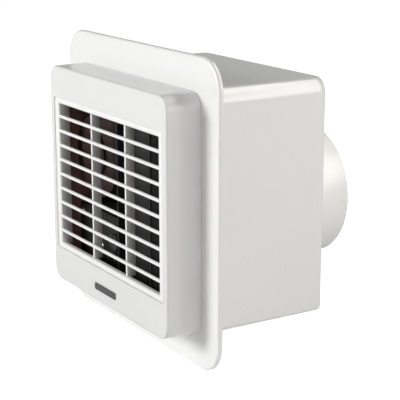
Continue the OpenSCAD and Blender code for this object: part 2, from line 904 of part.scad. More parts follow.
module humidity_dial() {
    flute_ring = dial_r + 0.3;
    flute_r = 0.8;
    color([0.85, 0.85, 0.83]) difference() {
        union() {
            rod_y(dial_x, dial_z, lid_front - 5, lid_front - 0.5, dial_r);
            rod_y(dial_x, dial_z, lid_front - 1, board_y - 1.2, dial_shaft_r);
        }
        for (a = [0:20:340])
            rod_y(dial_x + flute_ring * cos(a), dial_z + flute_ring * sin(a), lid_front - 6, lid_front,
                flute_r);
        block(dial_x - 0.6, dial_x + 0.6, lid_front - 6, lid_front - 4, dial_z, dial_z + dial_r + 1);
    }
}

// Black lid over the live parts, with windows for the terminals and the sensor and a hole for the dial
module electronics_cover() {
    before = lid_front - 1;
    behind = lid_front + 3;
    boss_r = 3.2;
    color([0.08, 0.08, 0.085]) difference() {
        union() {
            difference() {
                block(lid_x0, lid_x1, lid_front, board_y + 3, lid_z0, lid_z1);
                block(lid_x0 + lid_t, lid_x1 - lid_t, lid_front + lid_t, board_y + 4,
                    lid_z0 + lid_t, lid_z1 - lid_t);
            }
            for (p = lid_screws) rod_y(p[0], p[1], lid_front, board_y, boss_r);
        }
        block(terminal_x - 25, terminal_x + 25, before, behind, terminal_z - 8, terminal_z + 8);
        block(-25, -13, before, behind, -91, -75);
        rod_y(dial_x, dial_z, before, behind, dial_shaft_r + 0.6);
        for (p = lid_screws) rod_y(p[0], p[1], before, board_y + 1, lid_screw_r);
    }
}

module cover_lid_screws() {
    head_r = 3;
    head_h = 1.8;
    shank = 10;
    color([0.8, 0.8, 0.82]) for (p = lid_screws)
        pan_screw_y(p[0], p[1], lid_front - head_h, shank, lid_screw_r, head_r, head_h);
}

module cable_grommet() {
    bore = 4;
    lip_r = 10.5;
    lip_t = 1.8;
    top = box_wall + lip_t;
    color([0.06, 0.06, 0.06]) translate([grommet_x, grommet_y, -box_half]) rotate_extrude() {
        polygon([[bore, -lip_t], [lip_r, -lip_t], [lip_r, 0], [grommet_hole_r, 0],
            [grommet_hole_r, box_wall], [lip_r, box_wall], [lip_r, top], [bore, top]]);
    }
}

module cable_clamp() {
    low = -inner_half;
    clamp_y = 78;
    clamp_t = 9;
    clamp_h = 12;
    cable_r = 3.6;
    color([0.85, 0.85, 0.83]) translate([grommet_x, clamp_y, 0]) difference() {
        block(-14, 14, 0, clamp_t, low, low + clamp_h);
        translate([0, -1, low + clamp_h / 2]) rotate([-90, 0, 0]) cylinder(h = clamp_t + 2, r = cable_r);
    }
}

// Sleeved leads from the motor down to the board
module motor_leads() {
    lead_r = 1.6;
    lead_y = 25;
    lead_low = -40;
    color([0.1, 0.1, 0.1]) for (i = [0, 1]) {
        offset_x = 4 + 5 * i;
        near_x = offset_x - lead_r;
        lead_top = fan_z - sqrt(motor_r * motor_r - near_x * near_x) - 0.1;
        translate([fan_x + offset_x, lead_y, lead_low]) cylinder(h = lead_top - lead_low, r = lead_r);
        rod_y(fan_x + offset_x, lead_low, board_y + board_t, lead_y, lead_r);
        translate([fan_x + offset_x, lead_y, lead_low]) sphere(lead_r);
    }
}

// ---- Spigot and backdraught flaps ----------------------------------------------------

module spigot_plate_outline() {
    difference() {
        rounded(2 * (spigot_bolt + spigot_edge), 2 * (spigot_bolt + spigot_edge), spigot_edge);
        circle(bore_r);
        for (x = [-spigot_bolt, spigot_bolt], z = [-spigot_bolt, spigot_bolt])
            translate([x, z]) circle(spigot_hole_r);
    }
}

module duct_spigot() {
    color([0.95, 0.95, 0.93]) translate([0, 0, spigot_z]) difference() {
        union() {
            along_y(spigot_start, spigot_start + spigot_plate) spigot_plate_outline();
            along_y(spigot_start, spigot_end) difference() {
                circle(spigot_r);
                circle(bore_r);
            }
        }
        flap_pin(flap_pin_x, exhaust_pin_y);
        flap_pin(-flap_pin_x, intake_pin_y);
    }
}

module spigot_gasket() {
    color([0.1, 0.1, 0.1]) translate([0, 0, spigot_z])
        along_y(box_depth, spigot_start) spigot_plate_outline();
}

module spigot_screws() {
    head_r = 3.6;
    head_h = 2.4;
    shank = 7;
    color([0.75, 0.75, 0.76]) for (x = [-spigot_bolt, spigot_bolt], z = [-spigot_bolt, spigot_bolt])
        translate([x, spigot_start + spigot_plate, z + spigot_z]) {
            rotate([-90, 0, 0]) cylinder(h = head_h, r = head_r);
            rotate([90, 0, 0]) cylinder(h = shank, r = spigot_pilot_r);
        }
}

module duct_divider() {
    half_t = 1;
    half = sqrt(bore_r * bore_r - half_t * half_t) - 0.1;
    color([0.9, 0.9, 0.88])
        block(-half_t, half_t, rear_inside, spigot_end - 3, spigot_z - half, spigot_z + half);
}

// Upright hinge pin across the spigot, in spigot coordinates
module flap_pin(x, y) {
    translate([x, y, 0]) cylinder(h = 2 * (bore_r + 1), r = flap_pin_r, center = true);
}

module flap_pins() {
    color([0.75, 0.75, 0.77]) translate([0, 0, spigot_z]) {
        flap_pin(flap_pin_x, exhaust_pin_y);
        flap_pin(-flap_pin_x, intake_pin_y);
    }
}

// Half-moon flap hinged beside the divider, on the side given by s
module flap(s, pin_y) {
    half = sqrt(flap_r * flap_r - flap_pin_x * flap_pin_x) - 2;
    reach = flap_r + 22;
    translate([0, 0, spigot_z]) difference() {
        union() {
            intersection() {
                along_y(pin_y - flap_t / 2, pin_y + flap_t / 2) circle(flap_r);
                translate([s > 0 ? flap_pin_x : -flap_pin_x - reach, pin_y - 5, -reach])
                    cube([reach, 10, 2 * reach]);
            }
            translate([s * flap_pin_x, pin_y, 0]) cylinder(h = 2 * half, r = knuckle_r, center = true);
            translate([s * 26, pin_y, 0]) cube([40, flap_t + 1.6, 2], center = true);
        }
        translate([s * flap_pin_x, pin_y, 0])
            cylinder(h = 2 * reach, r = flap_pin_r + run_gap, center = true);
    }
}

module intake_flap() {
    color([0.75, 0.77, 0.78]) flap(-1, intake_pin_y);
}

module exhaust_flap() {
    color([0.75, 0.77, 0.78]) flap(1, exhaust_pin_y);
}

wall_housing();
wall_gasket();
front_cover();
grille_panel();
panel_pins();
badge_plate();
cover_screws();
centre_partition();
fan_bulkhead();
side_liner();
extract_scroll();
extract_backplate();
extract_impeller();
inlet_filter();
supply_scroll();
supply_backplate();
supply_impeller();
motor_can();
motor_stator();
motor_rotor();
motor_shaft();
motor_bearings();
motor_bracket();
motor_bushes();
motor_screws();
exchanger_core();
exchanger_carrier();
core_seals();
drip_tray();
supply_filter();
control_board();
relay();
run_capacitor();
terminal_block();
terminal_screws();
humidity_sensor();
dial_base();
humidity_dial();
electronics_cover();
cover_lid_screws();
cable_grommet();
cable_clamp();
motor_leads();
duct_spigot();
spigot_gasket();
spigot_screws();
duct_divider();
intake_flap();
exhaust_flap();
flap_pins();
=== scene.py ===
"""Looks of a through-wall heat recovery unit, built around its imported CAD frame.

Lengths in the shape code are millimetres and mm() turns them into metres. X runs to the right,
Y runs into the wall and Z runs up; the wall face of the flange is the plane Y = 0.
"""

import math

import bmesh
import bpy
from mathutils import Matrix, Vector


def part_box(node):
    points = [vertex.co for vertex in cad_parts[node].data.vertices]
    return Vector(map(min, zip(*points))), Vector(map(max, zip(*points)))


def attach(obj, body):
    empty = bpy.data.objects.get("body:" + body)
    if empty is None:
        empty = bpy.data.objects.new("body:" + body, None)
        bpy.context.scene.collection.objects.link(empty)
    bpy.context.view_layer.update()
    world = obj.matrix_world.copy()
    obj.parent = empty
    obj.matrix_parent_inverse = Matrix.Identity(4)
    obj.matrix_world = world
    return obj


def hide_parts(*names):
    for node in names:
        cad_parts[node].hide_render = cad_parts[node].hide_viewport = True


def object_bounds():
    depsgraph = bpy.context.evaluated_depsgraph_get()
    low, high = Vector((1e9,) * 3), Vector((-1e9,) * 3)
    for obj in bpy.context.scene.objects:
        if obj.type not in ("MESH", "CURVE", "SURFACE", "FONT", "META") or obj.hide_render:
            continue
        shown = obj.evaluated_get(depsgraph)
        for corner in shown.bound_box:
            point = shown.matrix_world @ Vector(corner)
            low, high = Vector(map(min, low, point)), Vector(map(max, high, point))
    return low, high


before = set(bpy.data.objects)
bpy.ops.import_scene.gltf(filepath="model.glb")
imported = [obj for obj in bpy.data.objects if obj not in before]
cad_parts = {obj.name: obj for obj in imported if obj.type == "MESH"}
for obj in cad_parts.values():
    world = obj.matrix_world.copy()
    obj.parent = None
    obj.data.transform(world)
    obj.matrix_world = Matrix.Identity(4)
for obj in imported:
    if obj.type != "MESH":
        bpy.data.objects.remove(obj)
cad_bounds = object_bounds()
scene = bpy.context.scene

MM = 0.001

# strength of the surroundings at the horizon and overhead, and the floor's own glow towards the camera
SKY_LOW, SKY_HIGH = 0.43, 0.02
FLOOR_LIFT = 0.85

# powers of the lamps in watts, and the warm tint of those beside and behind the unit
KEY_POWER = 50
SIDE_POWER = 7.8
STRIP_POWER = 17.5
ROOF_POWER = 8
WARM = (1.0, 0.985, 0.955)


# ---------------------------------------------------------------- mesh helpers

def mm(x, y, z):
    """A point given in millimetres, as a vector in metres."""
    return Vector((x * MM, y * MM, z * MM))


def size_of(node):
    """Lowest and highest corner of a CAD node, in millimetres."""
    low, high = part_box(node)
    return low / MM, high / MM


def rounded_outline(x0, x1, z0, z1, top_r, low_r):
    """Points (x, z) round a rectangle with rounded corners, anticlockwise from its right side's low end."""
    arc_steps, side_steps = 10, 14
    top_r, low_r = max(top_r, 0.05), max(low_r, 0.05)
    corners = [
        (x1 - top_r, z1 - top_r, top_r, 0),
        (x0 + top_r, z1 - top_r, top_r, 90),
        (x0 + low_r, z0 + low_r, low_r, 180),
        (x1 - low_r, z0 + low_r, low_r, 270),
    ]
    arcs = []
    for cx, cz, r, start in corners:
        angles = [math.radians(start + 90 * i / arc_steps) for i in range(arc_steps + 1)]
        arcs.append([(cx + r * math.cos(a), cz + r * math.sin(a)) for a in angles])
    points = []
    for i, arc in enumerate(arcs):
        before = arcs[i - 1][-1]
        for k in range(1, side_steps):
            t = k / side_steps
            points.append((before[0] + (arc[0][0] - before[0]) * t, before[1] + (arc[0][1] - before[1]) * t))
        points.extend(arc)
    return points


def circle_facing(points, centre_z, r):
    """Points of a circle, each in the same direction from its centre as the matching outline point."""
    out = []
    for x, z in points:
        a = math.atan2(z - centre_z, x)
        out.append((r * math.cos(a), centre_z + r * math.sin(a)))
    return out


def even_circle(points, centre_z, r):
    """Evenly spaced points of a circle, one for each point of a four-cornered outline, facing its corners."""
    corner = max(range(len(points)), key=lambda i: points[i][0] + points[i][1])
    step = 2 * math.pi / len(points)
    angles = [math.pi / 4 + (i - corner) * step for i in range(len(points))]
    return [(r * math.cos(a), centre_z + r * math.sin(a)) for a in angles]


def quarter(steps):
    """Pairs (sine, one minus cosine) round a quarter turn, for edge roundings."""
    angles = [math.pi / 2 * i / steps for i in range(steps + 1)]
    return [(math.sin(a), 1 - math.cos(a)) for a in angles]


def new_object(name, mesh):
    obj = bpy.data.objects.new(name, mesh)
    scene.collection.objects.link(obj)
    return obj


def object_from(bm, name):
    """Turns a bmesh into an object, with clean outward normals."""
    bmesh.ops.remove_doubles(bm, verts=bm.verts, dist=1e-7)
    bmesh.ops.recalc_face_normals(bm, faces=bm.faces)
    mesh = bpy.data.meshes.new(name)
    bm.to_mesh(mesh)
    bm.free()
    return new_object(name, mesh)


def loft_y(name, rings):
    """Closed skin over rings of (outline, y), with its last ring joined to its first."""
    bm = bmesh.new()
    loops = [[bm.verts.new(mm(x, y, z)) for x, z in outline] for outline, y in rings]
    count = len(loops[0])
    for a, b in list(zip(loops, loops[1:])) + [(loops[-1], loops[0])]:
        for i in range(count):
            j = (i + 1) % count
            bm.faces.new((a[i], a[j], b[j], b[i]))
    return object_from(bm, name)


def rounded_block(name, low, high, edge=0.4):
    """Block between two corners in millimetres, with rounded edges."""
    bm = bmesh.new()
    bmesh.ops.create_cube(bm, size=1)
    low, high = Vector(low), Vector(high)
    for v in bm.verts:
        v.co = Vector([(low[i] + high[i]) / 2 + v.co[i] * (high[i] - low[i]) for i in range(3)]) * MM
    if edge > 0:
        bmesh.ops.bevel(bm, geom=bm.edges[:], offset=edge * MM, segments=3, profile=0.5, affect="EDGES")
    return object_from(bm, name)


def turned(name, profile, axis_point, axis="Y", steps=64):
    """Solid of revolution from (radius, position) pairs along an axis through a point, in millimetres."""
    bm = bmesh.new()
    angles = [2 * math.pi * i / steps for i in range(steps)]
    rings = []
    for r, along in profile:
        if r > 0:
            around = [(r * math.cos(a), r * math.sin(a)) for a in angles]
        else:
            around = [(0, 0)]
        rings.append([bm.verts.new(turned_point(axis_point, axis, u, v, along)) for u, v in around])
    for a, b in zip(rings, rings[1:]):
        for i in range(steps):
            j = (i + 1) % steps
            if len(a) == 1:
                bm.faces.new((a[0], b[i], b[j]))
            elif len(b) == 1:
                bm.faces.new((a[i], a[j], b[0]))
            else:
                bm.faces.new((a[i], a[j], b[j], b[i]))
    for ring in (rings[0], rings[-1]):
        if len(ring) > 1:
            bm.faces.new(ring)
    return object_from(bm, name)


def hole(r, start, end, axis_point, axis, steps=24):
    """Round cutter between two positions along an axis."""
    return turned("hole", [(r, start), (r, end)], axis_point, axis, steps)


def turned_point(axis_point, axis, u, v, along):
    """Point at a position along an axis, offset by u and v across it."""
    x, y, z = axis_point
    if axis == "Y":
        return mm(x + u, along, z + v)
    if axis == "X":
        return mm(along, y + u, z + v)
    return mm(x + u, y + v, along)


def boolean(obj, others, operation):
    """Adds or cuts other objects, applies the result and deletes them."""
    for other in others:
        mod = obj.modifiers.new("boolean", "BOOLEAN")
        mod.operation = operation
        mod.solver = "EXACT"
        mod.object = other
    apply_modifiers(obj)
    for other in others:
        bpy.data.objects.remove(other)


def apply_modifiers(obj):
    """Bakes an object's modifiers into its mesh."""
    bpy.context.view_layer.update()
    shape = obj.evaluated_get(bpy.context.evaluated_depsgraph_get())
    mesh = bpy.data.meshes.new_from_object(shape)
    obj.modifiers.clear()
    obj.data = mesh


def smooth(obj, angle=35, weighted=True):
    """Smooth shading with creases at sharp edges, and flat faces that stay flat."""
    mesh = obj.data
    mesh.shade_smooth()
    mesh.set_sharp_from_angle(angle=math.radians(angle))
    if weighted:
        mod = obj.modifiers.new("flat_faces", "WEIGHTED_NORMAL")
        mod.keep_sharp = True
        mod.weight = 60


def soften_cad(obj, width):
    """Rounds the edges of a CAD node with a modifier and shades it smooth; its own mesh is untouched."""
    mod = obj.modifiers.new("edges", "BEVEL")
    mod.width = width * MM
    mod.segments = 2
    mod.limit_method = "ANGLE"
    mod.angle_limit = math.radians(35)
    mod.harden_normals = True
    mod.use_clamp_overlap = True
    obj.data.shade_smooth()


def paint(obj, material):
    obj.data.materials.clear()
    obj.data.materials.append(material)


def place(obj, body, material, nodes=()):
    """Gives a new piece its material, its body and the nodes it stands for."""
    paint(obj, material)
    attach(obj, body)
    if nodes:
        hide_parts(*nodes)
    return obj


# ---------------------------------------------------------------- materials

class Recipe:
    """Small wrapper that adds and links shader nodes. An input is named, or numbered as i0, i1 and so on."""

    def __init__(self, name):
        self.material = bpy.data.materials.new(name)
        self.material.use_nodes = True
        self.tree = self.material.node_tree
        self.shader = self.tree.nodes["Principled BSDF"]
        self.position = self.add("ShaderNodeTexCoord").outputs["Object"]

    def add(self, kind, **inputs):
        node = self.tree.nodes.new(kind)
        for key, value in inputs.items():
            self.set(node, key, value)
        return node

    def set(self, node, key, value):
        numbered = key[0] == "i" and key[1:].isdigit()
        socket = node.inputs[int(key[1:]) if numbered else key]
        if isinstance(value, bpy.types.NodeSocket):
            self.tree.links.new(value, socket)
        else:
            socket.default_value = value

    def noise(self, scale, detail=3.0, roughness=0.55):
        node = self.add("ShaderNodeTexNoise", Vector=self.position, Scale=scale, Detail=detail,
                        Roughness=roughness)
        return node.outputs["Fac"]

    def cell_walls(self, scale):
        """Distance to the nearest wall of a random cell pattern."""
        node = self.add("ShaderNodeTexVoronoi", Scale=scale)
        node.feature = "DISTANCE_TO_EDGE"
        self.set(node, "Vector", self.position)
        return node.outputs["Distance"]

    def spread(self, value, low, high, out_low=0.0, out_high=1.0):
        """Maps a value's range low..high to out_low..out_high, clamped."""
        node = self.add("ShaderNodeMapRange", i0=value, i1=low, i2=high, i3=out_low, i4=out_high)
        return node.outputs["Result"]

    def blend(self, factor, first, second):
        """Mixes two colours."""
        node = self.tree.nodes.new("ShaderNodeMix")
        node.data_type = "RGBA"
        self.set(node, "i0", factor)
        self.set(node, "i6", first)
        self.set(node, "i7", second)
        return node.outputs[2]

    def maths(self, operation, first, second):
        node = self.tree.nodes.new("ShaderNodeMath")
        node.operation = operation
        self.set(node, "i0", first)
        self.set(node, "i1", second)
        return node.outputs[0]

    def depth(self):
        """Position along Y in metres, which grows from the room towards the wall."""
        return self.add("ShaderNodeSeparateXYZ", Vector=self.position).outputs["Y"]

    def bump(self, height, distance, strength=1.0, below=None):
        """Surface relief, on top of the relief below it if there is any."""
        node = self.add("ShaderNodeBump", Height=height, Distance=distance, Strength=strength)
        if below is not None:
            self.set(node, "Normal", below)
        return node.outputs["Normal"]

    def edges(self):
        """Rises on convex edges, for wear and highlights there."""
        point = self.add("ShaderNodeNewGeometry").outputs["Pointiness"]
        return self.spread(point, 0.51, 0.58)

    def corners(self, distance):
        """Rises in creases and recesses, where dust settles."""
        node = self.add("ShaderNodeAmbientOcclusion", Distance=distance)
        node.samples = 4
        return self.spread(node.outputs["AO"], 0.25, 0.85, 1.0, 0.0)


def rgba(r, g, b):
    return (r, g, b, 1.0)


def tinted(colour, factor):
    return rgba(*[min(1.0, c * factor) for c in colour])


def moulded_plastic(name, colour, rough=0.38, grain=0.012, dust=0.0, coat=0.0, gloss=0.5, painted_depth_shade=None):
    """Injection-moulded plastic: spark grain, faint flow mottling, gloss in patches and paler convex edges,
    partly wear and partly a painted highlight.

    The last argument holds the two depths in mm between which a painted shade darkens surfaces deeper in the
    part, standing in for the shade that falls in its recesses.
    """
    m = Recipe(name)
    mottled = m.blend(m.spread(m.noise(9, 1), 0.3, 0.7), tinted(colour, 0.985), tinted(colour, 1.01))
    speckled = m.blend(m.spread(m.noise(1400, 1), 0.4, 0.7), mottled, tinted(colour, 0.985))
    # paler convex edges: partly wear, partly a painted highlight along every edge
    worn_and_highlit = m.blend(m.maths("MULTIPLY", m.edges(), 0.35), speckled, tinted(colour, 1.08))
    surface = worn_and_highlit
    if dust > 0:
        settled = m.maths("MULTIPLY", m.corners(0.006), dust)
        surface = m.blend(settled, surface, rgba(0.42, 0.39, 0.35))
    # painted shade: surfaces grow darker with depth, standing in for the shade deep in a recess, made uneven
    # by noise
    if painted_depth_shade:
        shade_depth_mask = m.spread(m.depth(), painted_depth_shade[0] * MM, painted_depth_shade[1] * MM)
        painted_shade_mask = m.maths("MULTIPLY", shade_depth_mask, m.spread(m.noise(60, 3), 0.2, 0.8, 0.6, 0.8))
        surface = m.blend(painted_shade_mask, surface, rgba(0.3, 0.28, 0.26))
    m.set(m.shader, "Base Color", surface)
    m.set(m.shader, "Roughness", m.spread(m.noise(40, 3, 0.5), 0.25, 0.75, rough - 0.04, rough + 0.05))
    fine = m.bump(m.noise(2200, 2), grain * MM, 0.5)
    m.set(m.shader, "Normal", m.bump(m.noise(16, 1), 0.06 * MM, 0.3, fine))
    m.set(m.shader, "IOR", 1.5)
    m.set(m.shader, "Specular IOR Level", gloss)
    m.set(m.shader, "Coat Weight", coat)
    m.set(m.shader, "Coat Roughness", 0.2)
    return m.material


def drawn_metal(name, colour, rough=0.3, streak=(1.0, 60.0, 1.0)):
    """Drawn or rolled metal: fine streaks, small pits and a little tarnish. streak squeezes each axis."""
    m = Recipe(name)
    stretch = m.add("ShaderNodeMapping", Vector=m.position, Scale=streak)
    lines = m.add("ShaderNodeTexNoise", Vector=stretch.outputs["Vector"], Scale=300.0, Detail=4.0)
    stains = m.spread(m.noise(90, 5, 0.65), 0.55, 0.75, 0.0, 0.5)
    base = m.blend(lines.outputs["Fac"], tinted(colour, 0.85), tinted(colour, 1.1))
    m.set(m.shader, "Base Color", m.blend(stains, base, rgba(0.3, 0.25, 0.2)))
    m.set(m.shader, "Metallic", 0.95)
    m.set(m.shader, "Roughness", m.spread(lines.outputs["Fac"], 0.3, 0.7, rough - 0.07, rough + 0.12))
    m.set(m.shader, "Normal", m.bump(lines.outputs["Fac"], 0.01 * MM, 0.6))
    return m.material


def open_foam(name, colour, cell_scale=900):
    """Open-cell foam: a net of fine pores over darker hollows."""
    m = Recipe(name)
    pores = m.cell_walls(cell_scale)
    web = m.spread(pores, 0.02, 0.16, 1.0, 0.0)
    m.set(m.shader, "Base Color", m.blend(web, tinted(colour, 0.35), tinted(colour, 1.5)))
    m.set(m.shader, "Roughness", m.spread(m.noise(200, 2), 0.3, 0.7, 0.8, 0.95))
    m.set(m.shader, "Normal", m.bump(web, 0.35 * MM, 0.9))
    m.set(m.shader, "Specular IOR Level", 0.2)
    return m.material


def soft_rubber(name, colour):
    """Rubber or cable sleeve: matt, with a faint bloom."""
    m = Recipe(name)
    bloom = m.spread(m.noise(120, 4), 0.5, 0.75)
    m.set(m.shader, "Base Color", m.blend(bloom, tinted(colour, 1.0), tinted(colour, 2.0)))
    m.set(m.shader, "Roughness", m.spread(m.noise(300, 3), 0.3, 0.7, 0.52, 0.72))
    m.set(m.shader, "Normal", m.bump(m.noise(700, 3), 0.02 * MM, 0.5))
    return m.material


def copper_winding(name):
    """Varnished wire wound round the motor axis: tight fine ridges."""
    m = Recipe(name)
    wave = m.add("ShaderNodeTexWave", Vector=m.position, Scale=420.0, Distortion=1.2, Detail=2.0)
    wave.bands_direction = "Y"
    ridges = wave.outputs["Fac"]
    m.set(m.shader, "Base Color", m.blend(ridges, rgba(0.22, 0.08, 0.03), rgba(0.62, 0.27, 0.11)))
    m.set(m.shader, "Metallic", 0.7)
    m.set(m.shader, "Roughness", m.spread(m.noise(80, 3), 0.3, 0.7, 0.28, 0.42))
    m.set(m.shader, "Normal", m.bump(ridges, 0.15 * MM, 0.8))
    return m.material


def circuit_board(name):
    """Solder mask with faint tracks in the upright plane of the board."""
    m = Recipe(name)
    turn = m.add("ShaderNodeMapping", Vector=m.position, Rotation=(math.radians(90), 0, 0))
    brick = m.add("ShaderNodeTexBrick", Vector=turn.outputs["Vector"], Scale=90.0)
    m.set(brick, "Mortar Size", 0.06)
    tracks = brick.outputs["Fac"]
    m.set(m.shader, "Base Color", m.blend(tracks, rgba(0.015, 0.11, 0.05), rgba(0.04, 0.24, 0.12)))
    m.set(m.shader, "Roughness", m.spread(m.noise(150, 3), 0.3, 0.7, 0.25, 0.4))
    m.set(m.shader, "Normal", m.bump(tracks, 0.03 * MM, 0.8))
    return m.material


# painted shade on the grille's fins, darker with depth where shade falls between them, starts just behind its
# bars and is at its full strength before their rear ends
GRILLE_FRONT = size_of("grille_panel")[0].y
FIN_PAINTED_SHADE = (GRILLE_FRONT + 3.5, GRILLE_FRONT + 9)

MATERIALS = {
    "cover_white": moulded_plastic("cover_white", (0.78, 0.78, 0.775), 0.36, coat=0.8),
    "grille_white": moulded_plastic("grille_white", (0.87, 0.87, 0.86), 0.32, coat=0.15, painted_depth_shade=FIN_PAINTED_SHADE),
    "housing_white": moulded_plastic("housing_white", (0.89, 0.89, 0.87), 0.34, coat=1.0),
    # the spigot's white is paler than the housing's; the extra paleness is painted light standing in for the
    # bright light on the tube
    "spigot_white_painted_light": moulded_plastic("spigot_white_painted_light", (0.94, 0.94, 0.92), 0.3, coat=1.0),
    "badge_grey": moulded_plastic("badge_grey", (0.07, 0.07, 0.075), 0.45),
    "chassis_black": moulded_plastic(
        "chassis_black", (0.018, 0.017, 0.017), 0.5, grain=0.03, dust=0.12, gloss=0.3),
    "liner_brown": moulded_plastic(
        "liner_brown", (0.22, 0.11, 0.095), 0.5, grain=0.03, dust=0.1, gloss=0.3),
    "scroll_brown": moulded_plastic(
        "scroll_brown", (0.036, 0.021, 0.018), 0.6, grain=0.03, dust=0.08, gloss=0.12),
    "scroll_black": moulded_plastic(
        "scroll_black", (0.028, 0.026, 0.026), 0.48, grain=0.03, dust=0.1, gloss=0.3),
    "impeller_black": moulded_plastic("impeller_black", (0.02, 0.02, 0.022), 0.4),
    "dial_grey": moulded_plastic("dial_grey", (0.06, 0.06, 0.06), 0.5, gloss=0.3),
    "control_white": moulded_plastic("control_white", (0.62, 0.62, 0.6), 0.4),
    "flap_grey": moulded_plastic("flap_grey", (0.42, 0.44, 0.45), 0.42),
    "relay_blue": moulded_plastic("relay_blue", (0.03, 0.07, 0.25), 0.3),
    "pin_steel": drawn_metal("pin_steel", (0.6, 0.6, 0.61), 0.28),
    "screw_zinc": drawn_metal("screw_zinc", (0.68, 0.68, 0.69), 0.25, (20.0, 1.0, 20.0)),
    "motor_steel": drawn_metal("motor_steel", (0.55, 0.56, 0.57), 0.33, (1.0, 40.0, 1.0)),
    "exchanger_foil": drawn_metal("exchanger_foil", (0.72, 0.74, 0.76), 0.25, (60.0, 60.0, 1.0)),
    "capacitor_can": drawn_metal("capacitor_can", (0.74, 0.75, 0.74), 0.28, (40.0, 1.0, 1.0)),
    "winding_copper": copper_winding("winding_copper"),
    "foam_black": open_foam("foam_black", (0.014, 0.014, 0.014)),
    "foam_brown": open_foam("foam_brown", (0.05, 0.026, 0.021), 700),
    "rubber_black": soft_rubber("rubber_black", (0.018, 0.018, 0.018)),
    "board_green": circuit_board("board_green"),
}


# ---------------------------------------------------------------- dimensions in millimetres

housing_high = size_of("wall_housing")[1]
cover_low, cover_high = size_of("front_cover")
panel_low, panel_high = size_of("grille_panel")
spigot_low, spigot_high = size_of("duct_spigot")

# flange and its gasket groove: width, height and corner radius of the groove's outer and inner edge
flange_half_w = housing_high.x
flange_half_h = housing_high.z
flange_front = -4.5
flange_r = 27.0
groove_outer = (252, 247, 22)
groove_inner = (232, 227, 13)
groove_depth = 1.5

# square box behind the flange, with rounder top corners
box_rear = housing_high.y
box_half = 105.0
box_wall = 2.5
box_top_r = 13.4
box_low_r = 4.0
box_rear_r = 9.5
box_rear_flat_r = 3.0
rear_wall = 3.0

# screws: masonry and cover screws stand this far off the middle, and the spigot's in a square
screw_x = 60.0
masonry_screw_y = 20.0
masonry_hole_r = 2.75
cover_screw_y = -8.5
cover_pilot_r = 1.7
spigot_bolt = 64.0
spigot_pilot_r = 1.5

# cable entry in the box's floor
cable_x, cable_y = -80.0, 62.0
cable_hole_r = 8.0

# front cover and the gap round the panel in its opening
cover_half_w = cover_high.x
cover_half_h = cover_high.z
cover_front = cover_low.y
cover_rear = cover_high.y
cover_r = 13.0
cover_wall = 2.5
aperture_gap = 0.25

# grille panel, its hinge along the top edge, and its field of bars and fins
panel_half_w = panel_high.x
panel_front = panel_low.y
panel_t = 2.5
hinge_y = panel_front + 2.5
hinge_z = panel_high.z - 2.5
hinge_bead_r = 2.5
field_half_w = 93.75
field_top = 68.3
row_pitch = 13.76
bar_d = 3.2
rows, columns = 10, 3
field_low = field_top - (rows * row_pitch - bar_d)
fin_w = 2.6
fin_set_back = 2.6
frame_t = 1.6
frame_depth = 11.2
frame_level_depth = 4.6

# duct spigot
duct_r = 59.0
duct_z = (spigot_low.z + spigot_high.z) / 2
spigot_r = 62.0
spigot_plate = 3.0


# ---------------------------------------------------------------- wall housing

def box_ring(inset, inset_z=None):
    """Outline of the square box, moved inwards by an inset; the top and bottom can have their own."""
    inset_z = inset if inset_z is None else inset_z
    w, h = box_half - inset, box_half - inset_z
    least = min(inset, inset_z)
    return rounded_outline(-w, w, -h, h, max(box_top_r - least, 1), max(box_low_r - least, 1))


def round_inset(y, end, r):
    """Inset of an edge rounding of radius r at depth y, when the rounding ends at depth end."""
    along = y - (end - r)
    return 0.0 if along <= 0 else r - math.sqrt(max(r * r - along * along, 0.0))


def rear_rings(wall, end, side_r, flat_r):
    """Rings over the rounded rear end of a box shape, from its straight part to its rear face."""
    steps = 12
    rings = []
    for i in range(steps + 1):
        y = end - side_r + side_r * math.sin(math.pi / 2 * i / steps)
        rings.append((box_ring(wall + round_inset(y, end, side_r), wall + round_inset(y, end, flat_r)), y))
    return rings


def flange_ring(inset):
    w, h, r = flange_half_w - inset, flange_half_h - inset, flange_r - inset
    return rounded_outline(-w, w, -h, h, r, r)


def groove_ring(w, h, r):
    return rounded_outline(-w / 2, w / 2, -h / 2, h / 2, r, r)


def housing_rings():
    """Rings of the housing's skin: inside of the box, flange front, rim, flange back, outside of the box."""
    inner_rear = box_rear - rear_wall
    lip = 0.8
    rim = 2.2
    back_edge = 0.7
    root = 1.5
    rings = [(circle_facing(box_ring(0), duct_z, duct_r), inner_rear)]
    rings += rear_rings(box_wall, inner_rear, box_rear_r - rear_wall, 1.0)[::-1]
    rings.append((box_ring(box_wall), 60.0))
    rings.append((box_ring(box_wall), 4.0))
    for s, c in quarter(4):
        rings.append((box_ring(box_wall - lip * c), flange_front + lip * (1 - s)))
    rings.append((flange_ring(rim + 3.0), flange_front))
    for s, c in quarter(7):
        rings.append((flange_ring(rim * (1 - s)), flange_front + rim * c))
    for s, c in quarter(3):
        rings.append((flange_ring(back_edge * c), -back_edge * (1 - s)))
    rings.append((groove_ring(*groove_outer), 0.0))
    rings.append((groove_ring(*groove_outer), -groove_depth))
    rings.append((groove_ring(*groove_inner), -groove_depth))
    rings.append((groove_ring(*groove_inner), 0.0))
    for s, c in quarter(4):
        rings.append((box_ring(-root * (1 - s)), root * c))
    for y in (25.0, 60.0, 95.0):
        rings.append((box_ring(0), y))
    rings += rear_rings(0, box_rear, box_rear_r, box_rear_flat_r)
    rings.append((circle_facing(box_ring(0), duct_z, duct_r + 6), box_rear))
    rings.append((circle_facing(box_ring(0), duct_z, duct_r), box_rear))
    return rings


